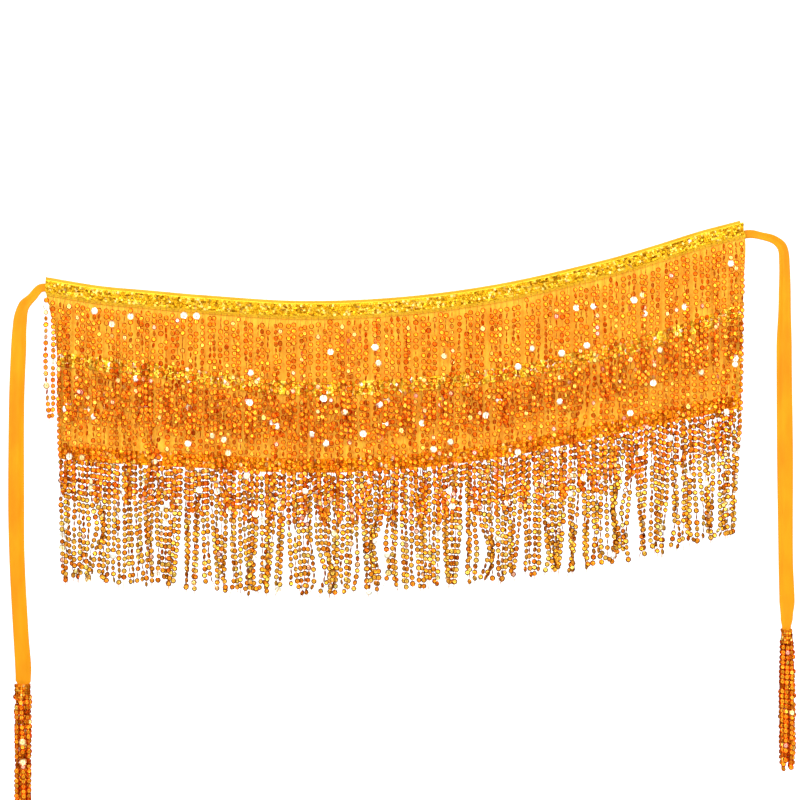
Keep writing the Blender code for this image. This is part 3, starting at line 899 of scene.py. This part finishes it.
def gather(starts, chance, sizes, pulls, begins):
    # neighbours gather in bunches: how far each moves, and where down the strand that starts
    aside = fringe["offCentre"]
    moves, froms, i = np.zeros(len(starts)), np.zeros(len(starts)), 0
    while i < len(starts):
        own = slice(i, i + int(chance.integers(sizes[0], sizes[1] + 1)))
        centre = starts[own].mean() + chance.uniform(-aside, aside)
        moves[own] = (centre - starts[own]) * chance.uniform(*pulls)
        froms[own] = chance.uniform(*begins)
        i = own.stop
    return moves, froms


def strandLines(tier):
    chance = np.random.default_rng(tier["seed"])
    low, high = (float(tier["drop"](np.float64(end))) + trims["height"] / 2 for end in hang["ends"])
    left, right = float(sideOf(0, np.float64(low))), float(sideOf(1, np.float64(high)))
    count = tier["strands"]
    starts = left + (np.arange(count) + 0.5) / count * (right - left)
    starts = starts + chance.uniform(-1, 1, count) * fringe["jitter"]
    bunches = gather(starts, chance, fringe["clump"], fringe["pull"], fringe["clumpFrom"])
    knots = gather(starts + bunches[0], chance, fringe["knot"], fringe["cling"], fringe["knotFrom"])
    lines = []
    for at, move, begin, cling, knotBegin in zip(starts, *bunches, *knots):
        length = through(tier["length"], 1, at) + chance.uniform(-1, 1) * fringe["lengthSpread"]
        lean, bend, swing = chance.uniform(-1, 1, 3)
        curl = chance.uniform(-1, 1) ** 3 * fringe["curl"]
        tail = chance.uniform(*fringe["tail"])
        hidden = chance.uniform(0, fringe["pitch"])  # each strand starts a little way up behind its trim
        share = np.linspace(0, 1, fringe["points"])
        across = at + partingDrift(at) * share**2 + move * easedStep(begin, 1.0, share)
        across = across + cling * easedStep(knotBegin, fringe["knotPast"], share)
        across = across + lean * fringe["lean"] * share + bend * fringe["bend"] * np.sin(math.pi * share)
        for gap, push, start in fringe["partings"][tier["name"]]:
            side = 1.0 if at > gap else -1.0
            reach = math.exp(-abs(at - gap) / fringe["partingReach"])
            across = across + side * push * reach * easedStep(start, fringe["partedBy"], share)
        used = length
        for name, place, down, sideways in fringe["snags"]:
            if name == tier["name"] and abs(at - place) < fringe["snagReach"]:
                near = 1 - abs(at - place) / fringe["snagReach"]
                across = across + sideways * near * np.exp(-0.5 * ((share - down) / fringe["snagWidth"]) ** 2)
                used -= fringe["snagShortens"] * near
        across = across + curl * easedStep(fringe["curlFrom"][0], 1.0, share)
        fallen = share * (used + hidden)
        waves = fringe["waves"][0] + fringe["waves"][1] * swing
        ripple = fringe["wave"] * np.sin(2 * math.pi * (share * waves + lean))
        out = tier["layer"] + ripple * easedStep(0, fringe["waveEase"], share)
        under = tier["backing"] + fringe["rootGap"]
        out = under + (out - under) * easedStep(hidden, hidden + fringe["rootEase"], fallen)
        height = -tier["drop"](across) - trims["height"] + fringe["rootTuck"] + hidden - fallen
        height = height + 0.5 * abs(curl) * easedStep(fringe["curlFrom"][1], 1.0, share)
        sewn = (fallen >= tier["firstSequin"] + hidden) & (fallen <= used + hidden - tail)
        lines.append((drape(across, height, out), outward(across, height), np.where(sewn, 1.0, 0.0)))
    return lines


def trimEnds(tier, inset):
    rows = [float(tier["drop"](np.float64(end))) + trims["height"] / 2 for end in hang["ends"]]
    return float(sideOf(0, np.float64(rows[0]))) + inset, float(sideOf(1, np.float64(rows[1]))) - inset


def alongTrim(tier, down, out, inset=0.0, points=260):
    # a line along the cloth, down from the trim's top edge
    left, right = trimEnds(tier, inset)
    across = np.linspace(left, right, points)
    height = -tier["drop"](across) - down
    return drape(across, height, out), outward(across, height)


def makeTape(tier):
    left, right = trimEnds(tier, 0.0)

    def place(share, up):
        across = left + share * (right - left)
        height = -tier["drop"](across) - trims["height"] * (1 - up)
        return across, height, tier["backing"] + layers["tape"] / 2 + 0 * up

    tape = sheetPiece(tier["name"] + "Tape", trims["columns"], trims["rows"], place, layers["tape"],
                      [tier["cloth"]])
    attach(tape, "root")
    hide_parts(tier["node"])
    return tape


def makeBraid(tier):
    lines = []
    for row in range(tier["rows"]):
        down = tier["firstRow"] + row * trims["rowPitch"]
        out = tier["backing"] + layers["tape"] + trims["lift"]
        inset = trims["inset"] + 0.5 * trims["pitch"] * (row % 2)  # every second row is set over by half
        lines.append(alongTrim(tier, down, out, inset))
    braid = stringAlong(tier["name"] + "Braid", lines, {
        **braidString, "Piece": braidSequin, "Pitch": trims["pitch"], "Bright": tier["bright"],
        "Seed": 20 + tier["seed"], "Piece Material": tier["sequins"],
    })
    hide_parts(tier["node"])
    return braid


def makeFringe(tier):
    strands = stringAlong(tier["name"] + "Fringe", strandLines(tier), {
        **strandString, "Piece": tier["piece"], "Pitch": fringe["pitch"], "Size": tier["size"],
        "Bare": tier["bare"], "Seed": tier["seed"], "Piece Material": tier["look"],
    })
    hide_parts(tier["node"])
    return strands


tapes, braids, fringes = [], [], []
for tier in tiers:
    tapes.append(makeTape(tier))
    braids.append(makeBraid(tier))
    fringes.append(makeFringe(tier))
    print("trim sewn on:", tier["name"], len(fringes[-1].data.polygons), "faces in its strands")


# The ties: a strip folded double and sewn behind each end of the waistband, then hanging free
ties = {
    "left": {
        "seam": [(0.016, -0.015, 0.011), (-0.012, -0.015, 0.011)],  # across, height, width
        "free": [  # across, rise, forward, width
            (-0.0235, -0.0110, 0.001, 0.0120), (-0.0335, -0.0225, 0.003, 0.0150),
            (-0.0375, -0.0420, 0.005, 0.0180), (-0.0392, -0.0790, 0.006, 0.0200),
            (-0.0414, -0.1440, 0.007, 0.0200), (-0.0423, -0.2740, 0.006, 0.0210),
            (-0.0414, -0.3520, 0.005, 0.0200), (-0.0362, -0.4480, 0.006, 0.0200),
            (-0.0334, -0.4900, 0.006, 0.0210), (-0.0335, -0.5075, 0.006, 0.0200),
            (-0.0344, -0.5150, 0.006, 0.0125), (-0.0350, -0.5240, 0.006, 0.0082),
        ],
        "node": "tie_left", "flat": (0.022, 0.580),
        # along, across, half length, half width, depth
        "creases": [(0.22, 0.30, 0.06, 0.10, -0.0006), (0.30, 0.68, 0.09, 0.12, 0.0006),
                    (0.47, 0.40, 0.10, 0.12, -0.0005), (0.63, 0.62, 0.08, 0.10, 0.0005),
                    (0.80, 0.35, 0.05, 0.10, -0.0006), (0.90, 0.60, 0.03, 0.12, -0.0007)],
    },
    "right": {
        "seam": [(0.882, -0.019, 0.011), (0.910, -0.0205, 0.011)],
        "free": [
            (0.9250, 0.0690, 0.001, 0.0100), (0.9405, 0.0640, 0.003, 0.0110),
            (0.9505, 0.0540, 0.005, 0.0130), (0.9530, 0.0350, 0.006, 0.0140),
            (0.9532, -0.0140, 0.007, 0.0160), (0.9525, -0.0790, 0.007, 0.0200),
            (0.9538, -0.2090, 0.006, 0.0210), (0.9549, -0.3520, 0.006, 0.0190),
            (0.9568, -0.4040, 0.005, 0.0200), (0.9563, -0.4260, 0.006, 0.0160),
            (0.9560, -0.4405, 0.006, 0.0115), (0.9560, -0.4530, 0.006, 0.0062),
        ],
        "node": "tie_right", "flat": (0.022, 0.600),
        "creases": [(0.28, 0.62, 0.05, 0.10, -0.0006), (0.36, 0.34, 0.08, 0.12, 0.0006),
                    (0.50, 0.55, 0.10, 0.11, -0.0005), (0.64, 0.35, 0.07, 0.10, 0.0005),
                    (0.78, 0.60, 0.05, 0.12, -0.0006), (0.88, 0.42, 0.03, 0.10, -0.0007)],
    },
}
tieShape = {"steps": 12, "columns": 12, "crease": 0.0016, "roundness": 6}


def tieLine(tie):
    behind = -(layers["onCloth"] + layers["casing"] + layers["seam"] + layers["tie"] / 2)
    sewn = [drape(np.float64(across), np.float64(height), behind) for across, height, _ in tie["seam"]]
    points = sewn + [np.array((across, -forward, rise)) for across, rise, forward, _ in tie["free"]]
    return np.array(points), np.array([row[-1] for row in tie["seam"] + tie["free"]])


def onLine(points, widths, place):
    # point, direction and width on the smooth curve through the tie's points
    gaps = np.linalg.norm(np.diff(points, axis=0), axis=1)
    last = len(points) - 1
    step = min(int(place), last - 1)
    t = place - step

    def slope(i):
        before, after = max(i - 1, 0), min(i + 1, last)
        return (points[after] - points[before]) / gaps[before:after].sum() * gaps[step]

    start, end = points[step], points[step + 1]
    point = start * (1 + 2 * t) * (1 - t) ** 2 + end * t * t * (3 - 2 * t)
    point = point + slope(step) * t * (1 - t) ** 2 - slope(step + 1) * t * t * (1 - t)
    direction = (end - start) * 6 * t * (1 - t) + slope(step) * (1 - t) * (1 - 3 * t)
    direction = direction - slope(step + 1) * t * (2 - 3 * t)
    width = widths[step] + (widths[step + 1] - widths[step]) * t * t * (3 - 2 * t)
    return point, direction / np.linalg.norm(direction), width


def tieFrame(tie, along):
    points, widths = tieLine(tie)
    point, direction, width = onLine(points, widths, along * (len(points) - 1))
    sideways = np.cross(direction, (0, -1, 0))
    sideways /= np.linalg.norm(sideways)
    return point, sideways, np.cross(sideways, direction), width


def creaseOfTie(tie, along, share):
    depth = tieShape["crease"] * math.sin(math.pi * along) ** 2 * np.cos(2 * math.pi * (share - 0.5))
    for at, side, length, half, deep in tie["creases"]:
        near = math.exp(-0.5 * ((along - at) / length) ** 2)
        depth = depth - deep * near * np.exp(-0.5 * ((share - side) / half) ** 2)
    return depth


def makeTie(name, tie):
    rings = tieShape["steps"] * (len(tie["seam"]) + len(tie["free"]) - 1)
    columns = tieShape["columns"]
    share = (1 - np.cos(math.pi * np.linspace(0, 1, columns + 1))) / 2
    wall = layers["tie"] / 2 * np.sqrt(np.clip(1 - np.abs(2 * share - 1) ** tieShape["roundness"], 0, 1))
    ring = np.concatenate([share, share[-2:0:-1]])
    half = np.concatenate([wall, -wall[-2:0:-1]])
    count, points, pattern = len(ring), [], []
    for step in range(rings + 1):
        along = step / rings
        point, sideways, out, width = tieFrame(tie, along)
        depth = half - creaseOfTie(tie, along, ring)
        points.append(point + np.outer((ring - 0.5) * width, sideways) + np.outer(depth, out))
        pattern.append(np.stack([(ring - 0.5) * width, np.full(count, along * tie["flat"][1])], axis=-1))
    faces = []
    for low in range(0, rings * count, count):
        for i in range(count):
            after = (i + 1) % count
            faces.append((low + i, low + after, low + count + after, low + count + i))
    faces += [tuple(reversed(range(count))), tuple(rings * count + i for i in range(count))]
    piece = makeObject(name, np.vstack(points), faces, [tieCloth])
    mapCut(piece, np.vstack(pattern))
    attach(piece, "root")
    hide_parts(tie["node"])
    return piece


leftTie = makeTie("leftTie", ties["left"])
rightTie = makeTie("rightTie", ties["right"])
print("ties hung")


# The tassels: the same trim rolled round the gathered end of each tie
tassels = {  # breadth is the roll's width beside its depth, and flare how far its strands spread
    "left": {"node": "tassel_left", "breadth": 1.32, "flare": 0.06, "seed": 31},
    "right": {"node": "tassel_right", "breadth": 0.92, "flare": 0.36, "seed": 37},
}
roll = {
    "radius": 0.0040,
    "pitch": 0.0021,
    "length": 0.058,
    "tuck": 0.012,
    "rows": 6,
    "rowPoints": 60,
    "firstRow": 0.0018,
    "ends": (0.0015, 0.0010),
    "headLift": 0.0004,
    "strands": 12,
    "strandLength": 0.157,
    "lengthSpread": 0.006,
    "flareTurn": math.radians(145),
    "spacing": 0.25,
    "lean": 0.0025,
    "bend": 0.002,
    "lift": (0.0012, 0.0006),
    "outTurn": 1.1,
}
hangString = {**strandString, "Pitch": 0.0062, "Size Spread": 0.07, "Turn": 1.10, "Nod": 0.20,
              "Bright": 0.012, "Bright Size": 0.3, "Bare": 0.22}
headString = {"Pitch": 0.0031, "Size Spread": 0.08, "Turn": 0.5, "Nod": 0.35, "Lean": 0.2, "Flipped": 0.3}


def wind(across, height, out, tassel):
    # a point of the flat trim, rolled up and flared, and which way it faces
    growth = roll["pitch"] / (2 * math.pi)
    angle = (np.sqrt(roll["radius"] ** 2 + 2 * growth * across) - roll["radius"]) / growth
    hanging = np.clip((-height - trims["height"]) / roll["strandLength"], 0, 1)
    flared = 1 + tassel["flare"] * np.sin(roll["flareTurn"] * hanging)
    radius = (roll["radius"] + growth * angle + out) * flared
    side = np.stack([tassel["breadth"] * np.sin(angle), -np.cos(angle), 0 * angle], axis=-1)
    return radius[..., None] * side + np.stack([0 * height, 0 * height, height], axis=-1), side


def tasselTop(tie):
    across, rise, forward, _ = tie["free"][-1]
    return np.array((across, -forward, rise + roll["tuck"]))


def makeTassel(name, tassel, tie):
    top, chance = tasselTop(tie), np.random.default_rng(tassel["seed"])
    strands = []
    for strand in range(roll["strands"]):
        share = np.linspace(0, 1, fringe["points"])
        aside = chance.uniform(-roll["spacing"], roll["spacing"])
        at = (strand + 0.5 + aside) / roll["strands"] * roll["length"]
        lean, bend = chance.uniform(-1, 1, 2)
        length = roll["strandLength"] + chance.uniform(-1, 1) * roll["lengthSpread"]
        across = at + roll["lean"] * lean * share + roll["bend"] * bend * np.sin(math.pi * share)
        height = -trims["height"] + fringe["rootTuck"] - share * length
        out = roll["lift"][0] + roll["lift"][1] * bend * share
        points, side = wind(np.clip(across, 0, roll["length"]), height, out, tassel)
        facing = side + np.sign(side[:, 1:2]) * (0.0, roll["outTurn"], 0.0)  # turned to the front or the back
        strands.append((top + points, facing))
    hanging = stringAlong(name, strands, {
        **hangString, "Piece": strandSequin, "Seed": tassel["seed"], "Piece Material": strandSequins,
    })
    rows = []
    for row in range(roll["rows"]):
        across = np.linspace(roll["ends"][0], roll["length"] - roll["ends"][1], roll["rowPoints"])
        height = np.full(roll["rowPoints"], -roll["firstRow"] - row * trims["rowPitch"])
        points, side = wind(across, height, layers["tape"] + roll["headLift"], tassel)
        rows.append((top + points, side))
    head = stringAlong(name + "Head", rows, {
        **headString, "Piece": braidSequin, "Seed": tassel["seed"] + 1, "Piece Material": strandSequins,
    })
    columns, tapeRows = roll["rowPoints"], 3
    share, up = np.meshgrid(np.linspace(0, 1, columns + 1), np.linspace(0, 1, tapeRows + 1))
    share, up = share.ravel(), up.ravel()
    walls = [top + wind(share * roll["length"], -trims["height"] * (1 - up), out + 0 * up, tassel)[0]
             for out in (layers["tape"], 0.0)]
    tape = makeObject(name + "Tape", np.vstack(walls), shellFaces(columns, tapeRows), [tieCloth])
    mapCut(tape, np.stack([share * roll["length"], up * trims["height"]], axis=-1))
    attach(tape, "root")
    for piece in (hanging, head, tape):
        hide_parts(tassel["node"])
    return hanging, head, tape


leftTassel = makeTassel("leftTassel", tassels["left"], ties["left"])
rightTassel = makeTassel("rightTassel", tassels["right"], ties["right"])
print("tassels rolled")


# Where the seams run: each is so far down from the waistband's top edge, or from a trim's
seams = {
    "pitch": 0.0040,
    "unevenness": 0.05,
    "seed": 61,
    "tie": {"along": (0.17, 0.985), "points": 160, "share": 0.12, "lift": 0.00072},
    "band": {"across": (0.0, 0.9), "points": 320, "lift": 0.00005, "front": [0.0226],
             "back": [0.0226, 0.0030]},
    "trim": {"inset": 0.002, "lift": 0.0001, "onPanel": [(1, 0.0016), (1, 0.0164), (2, 0.0016)],
             "onHem": [(2, 0.0112), (2, 0.0164)]},  # tier, down
    "sideHem": {"inset": 0.0066, "points": 60, "lowest": 0.09},
}


def clothLine(across, height, out, back=False):
    facing = outward(across, height)
    return drape(across, height, out), -facing if back else facing


def tieSeam(tie, side):
    # stitches along one edge of a tie, on its front or its back
    seam, points, facing = seams["tie"], [], []
    for along in np.linspace(*seam["along"], seam["points"]):
        point, sideways, out, width = tieFrame(tie, along)
        lift = side * seam["lift"] - creaseOfTie(tie, along, np.float64(seam["share"]))
        points.append(point - (0.5 - seam["share"]) * width * sideways + lift * out)
        facing.append(side * out)
    return np.array(points), np.array(facing)


def bandSeams():
    seam = seams["band"]
    across = np.linspace(*seam["across"], seam["points"])
    reach = layers["onCasing"] + seam["lift"]
    front = [clothLine(across, np.full(seam["points"], -down), reach) for down in seam["front"]]
    return front + [clothLine(across, np.full(seam["points"], -down), -reach, True) for down in seam["back"]]


def makeStitches():
    lines = [tieSeam(tie, side) for tie in ties.values() for side in (1, -1)] + bandSeams()
    seam = seams["trim"]
    plain = -layers["cloth"] / 2 - seam["lift"]
    hemmed = layers["hem"] + plain
    for rows, out in ((seam["onPanel"], plain), (seam["onHem"], hemmed)):
        for tier, down in rows:
            points, facing = alongTrim(tiers[tier], down, out, seam["inset"])
            lines.append((points, -facing))
    seam = seams["sideHem"]
    up = np.linspace(seam["lowest"], hemShape["sideTop"], seam["points"])
    for side in (0, 1):
        across, height, out = placePanel(np.full(seam["points"], side), up)
        lines.append(clothLine(across + (1 - 2 * side) * seam["inset"], height, out + hemmed, True))
    return lines


seamStitches = stringAlong("seamStitches", makeStitches(), {
    "Piece": stitch, "Pitch": seams["pitch"], "Size Spread": seams["unevenness"], "Seed": seams["seed"],
    "Piece Material": sewingThread,
})
print("seams stitched")

for single in (strandSequin, hangingSequin, braidSequin, stitch):
    bpy.data.objects.remove(single)


# A pale studio: a floor that curves up all round, soft lamps and one small bright lamp beside the lens
studio = {
    "floor": -1.25,
    "radius": 7.0,
    "curve": 2.4,
    "height": 8.0,
    "steps": 24,
    "around": 72,
    "pale": (0.86, 0.86, 0.86),
    "grain": 3.0,
    "grainDepth": 0.985,
    "glow": 0.62,
    "roughness": 0.9,
    "lamps": [  # name, place, size, watts
        ("key", (-1.5, -2.6, 1.9), 1.3, 95.0),
        ("fill", (2.9, -2.4, 0.7), 1.6, 55.0),
        ("above", (0.5, -0.6, 2.6), 1.4, 18.0),
        ("flash", (0.36, -2.35, 0.10), 0.14, 7.0),
        ("behind", (0.7, 2.6, 1.6), 1.6, 44.0),
    ],
    "aim": (0.455, 0.0, -0.15),
    # the room's light each way: between which points of a unit sphere, from what to what
    "room": {"ahead": (0.25, 0.95, 0.42, 0.95), "up": (0.1, 1.0, 0.0, 0.50), "down": (-0.2, -1.0, 0.0, 0.35)},
    "camera": {"place": (0.455, -2.2, -0.144), "lens": 76.15, "sensor": 36.0},
}


def makeStudio():
    steps, around, points, faces = studio["steps"], studio["around"], [(0, 0, studio["floor"])], []
    profile = [(studio["radius"] * 0.5, studio["floor"])]
    for step in range(steps + 1):
        a = math.pi / 2 * step / steps
        profile.append((studio["radius"] - studio["curve"] * (1 - math.sin(a)),
                        studio["floor"] + studio["curve"] * (1 - math.cos(a))))
    profile.append((studio["radius"], studio["floor"] + studio["height"]))
    turns = [2 * math.pi * i / around for i in range(around)]
    for radius, height in profile:
        points += [(radius * math.cos(turn), radius * math.sin(turn), height) for turn in turns]
    for i in range(around):
        after = (i + 1) % around
        faces.append((0, 1 + i, 1 + after))
        for row in range(len(profile) - 1):
            a, b = 1 + row * around, 1 + (row + 1) * around
            faces.append((a + i, b + i, b + after, a + after))
    mesh = bpy.data.meshes.new("studioFloor")
    mesh.from_pydata(points, [], faces)
    mesh.shade_smooth()
    floor = intoScene("studioFloor", mesh)
    material, tree, shader = newMaterial("palePaper")
    darker = tuple(studio["grainDepth"] * part for part in studio["pale"])
    tone = rampColours(tree, noiseOver(tree, studio["grain"], 2.0), [(0.3, darker), (0.7, studio["pale"])])
    tree.links.new(tone, shader.inputs["Base Color"])
    tree.links.new(tone, shader.inputs["Emission Color"])
    shader.inputs["Emission Strength"].default_value = studio["glow"]
    shader.inputs["Roughness"].default_value = studio["roughness"]
    shader.inputs["Specular IOR Level"].default_value = 0.0
    mesh.materials.append(material)
    floor.visible_glossy = False
    floor.visible_diffuse = False
    floor.visible_shadow = False
    floor.visible_transmission = True


def aim(thing, target):
    thing.rotation_euler = (Vector(target) - thing.location).to_track_quat("-Z", "Y").to_euler()


def makeLamps():
    for name, place, size, watts in studio["lamps"]:
        lamp = intoScene(name, bpy.data.lights.new(name, "AREA"))
        lamp.data.size = size
        lamp.data.energy = watts
        lamp.location = place
        aim(lamp, studio["aim"])


def makeWorld():
    # brightest in front, behind and above, dim to the sides, so that the sequins' rims are dark
    world = bpy.data.worlds.new("softRoom")
    world.use_nodes = True
    tree = world.node_tree
    way = put(tree, "ShaderNodeTexCoord").outputs["Generated"]
    part = put(tree, "ShaderNodeSeparateXYZ", {0: way}).outputs
    room = studio["room"]
    ahead = rescaled(tree, mathNode(tree, "ABSOLUTE", part["Y"], 0.0), *room["ahead"])
    up = rescaled(tree, part["Z"], *room["up"])
    down = rescaled(tree, part["Z"], *room["down"])
    light = mathNode(tree, "ADD", ahead, mathNode(tree, "ADD", up, down))
    tree.links.new(light, tree.nodes["Background"].inputs["Strength"])
    tree.nodes["Background"].inputs["Color"].default_value = (1, 1, 1, 1)
    bpy.context.scene.world = world


makeStudio()
makeLamps()
makeWorld()

camera = intoScene("camera", bpy.data.cameras.new("camera"))
camera.data.lens = studio["camera"]["lens"]
camera.data.sensor_width = studio["camera"]["sensor"]
camera.location = studio["camera"]["place"]
camera.rotation_euler = (math.pi / 2, 0, 0)
bpy.context.scene.camera = camera
bpy.context.scene.view_settings.view_transform = "Standard"
print("studio set")
